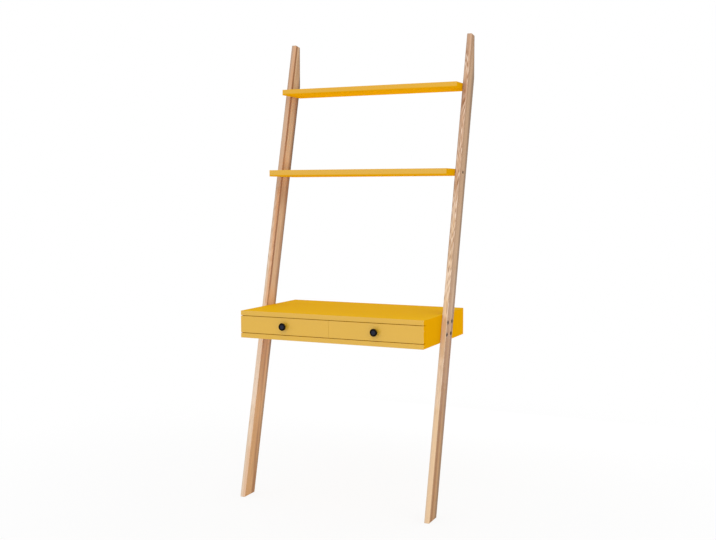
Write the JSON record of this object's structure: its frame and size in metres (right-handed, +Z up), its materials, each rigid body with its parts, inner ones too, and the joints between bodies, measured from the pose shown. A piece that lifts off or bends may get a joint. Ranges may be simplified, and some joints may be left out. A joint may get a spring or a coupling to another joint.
{
  "type": "ladder desk",
  "caption": "Leaning ladder desk: ash side boards rest on floor and wall and carry painted shelves and a painted desk box with side-by-side drawers and round knobs.",
  "frame": {"origin": "on the floor, midway across the width, and midway between the fronts of the knobs and the wall", "axes": "+X to the right as seen from the front, +Y towards the wall, +Z up"},
  "size_m": [0.786, 0.513, 1.7998],
  "materials": {
    "ash": "clear matt lacquer on solid ash, grain along the boards",
    "yellow_paint": "satin golden yellow paint on medium density fibreboard",
    "birch_ply": "clear lacquered birch plywood",
    "beech": "plain turned beech, unfinished",
    "black_knob": "satin black powder coat",
    "black_steel": "black oxide",
    "zinc_steel": "bright zinc plate",
    "polished_steel": "polished bearing steel",
    "brass_insert": "turned brass",
    "clear_rubber": "clear soft plastic"
  },
  "bodies": {
    "desk_frame": {"bolt_inserts": "brass_insert", "desk_back": "yellow_paint", "desk_bottom": "yellow_paint", "desk_divider": "yellow_paint", "desk_runner_screws": "zinc_steel", "desk_screws": "zinc_steel", "desk_side_left": "yellow_paint", "desk_side_right": "yellow_paint", "desk_top": "yellow_paint", "dowels": "beech", "front_bumpers": "clear_rubber", "left_drawer_left_runner_fixed_channel": "zinc_steel", "left_drawer_right_runner_fixed_channel": "zinc_steel", "leg_bolts": "black_steel", "leg_left": "ash", "leg_right": "ash", "right_drawer_left_runner_fixed_channel": "zinc_steel", "right_drawer_right_runner_fixed_channel": "zinc_steel", "shelf_middle": "yellow_paint", "shelf_upper": "yellow_paint", "wall_hanger_screws": "zinc_steel", "wall_hangers": "zinc_steel"},
    "left_drawer": {"left_drawer_back": "birch_ply", "left_drawer_box_screws": "zinc_steel", "left_drawer_floor": "birch_ply", "left_drawer_front": "yellow_paint", "left_drawer_front_screws": "zinc_steel", "left_drawer_inner_front": "birch_ply", "left_drawer_knob": "black_knob", "left_drawer_knob_screw": "zinc_steel", "left_drawer_left_runner_inner_channel": "zinc_steel", "left_drawer_right_runner_inner_channel": "zinc_steel", "left_drawer_runner_screws": "zinc_steel", "left_drawer_side_left": "birch_ply", "left_drawer_side_right": "birch_ply"},
    "left_middle_channels": {"left_drawer_left_runner_middle_channel": "zinc_steel", "left_drawer_right_runner_middle_channel": "zinc_steel"},
    "left_outer_balls": {"left_drawer_outer_ball_cages": "zinc_steel", "left_drawer_outer_balls": "polished_steel"},
    "left_inner_balls": {"left_drawer_inner_ball_cages": "zinc_steel", "left_drawer_inner_balls": "polished_steel"},
    "right_drawer": {"right_drawer_back": "birch_ply", "right_drawer_box_screws": "zinc_steel", "right_drawer_floor": "birch_ply", "right_drawer_front": "yellow_paint", "right_drawer_front_screws": "zinc_steel", "right_drawer_inner_front": "birch_ply", "right_drawer_knob": "black_knob", "right_drawer_knob_screw": "zinc_steel", "right_drawer_left_runner_inner_channel": "zinc_steel", "right_drawer_right_runner_inner_channel": "zinc_steel", "right_drawer_runner_screws": "zinc_steel", "right_drawer_side_left": "birch_ply", "right_drawer_side_right": "birch_ply"},
    "right_middle_channels": {"right_drawer_left_runner_middle_channel": "zinc_steel", "right_drawer_right_runner_middle_channel": "zinc_steel"},
    "right_outer_balls": {"right_drawer_outer_ball_cages": "zinc_steel", "right_drawer_outer_balls": "polished_steel"},
    "right_inner_balls": {"right_drawer_inner_ball_cages": "zinc_steel", "right_drawer_inner_balls": "polished_steel"}
  },
  "joints": [
    {"name": "left_drawer_slide", "type": "slide", "parent": "desk_frame", "child": "left_drawer", "axis": [0, -1, 0], "range_m": [0, 0.4]},
    {"name": "left_middle_channel_slide", "type": "slide", "parent": "desk_frame", "child": "left_middle_channels", "axis": [0, -1, 0], "range_m": [0, 0.2]},
    {"name": "left_outer_ball_slide", "type": "slide", "parent": "desk_frame", "child": "left_outer_balls", "axis": [0, -1, 0], "range_m": [0, 0.1]},
    {"name": "left_inner_ball_slide", "type": "slide", "parent": "desk_frame", "child": "left_inner_balls", "axis": [0, -1, 0], "range_m": [0, 0.3]},
    {"name": "right_drawer_slide", "type": "slide", "parent": "desk_frame", "child": "right_drawer", "axis": [0, -1, 0], "range_m": [0, 0.4]},
    {"name": "right_middle_channel_slide", "type": "slide", "parent": "desk_frame", "child": "right_middle_channels", "axis": [0, -1, 0], "range_m": [0, 0.2]},
    {"name": "right_outer_ball_slide", "type": "slide", "parent": "desk_frame", "child": "right_outer_balls", "axis": [0, -1, 0], "range_m": [0, 0.1]},
    {"name": "right_inner_ball_slide", "type": "slide", "parent": "desk_frame", "child": "right_inner_balls", "axis": [0, -1, 0], "range_m": [0, 0.3]}
  ],
  "couplings": [
    {"joint": "left_middle_channel_slide", "follows": "left_drawer_slide", "ratio": 0.5},
    {"joint": "left_outer_ball_slide", "follows": "left_drawer_slide", "ratio": 0.25},
    {"joint": "left_inner_ball_slide", "follows": "left_drawer_slide", "ratio": 0.75},
    {"joint": "right_middle_channel_slide", "follows": "right_drawer_slide", "ratio": 0.5},
    {"joint": "right_outer_ball_slide", "follows": "right_drawer_slide", "ratio": 0.25},
    {"joint": "right_inner_ball_slide", "follows": "right_drawer_slide", "ratio": 0.75}
  ]
}
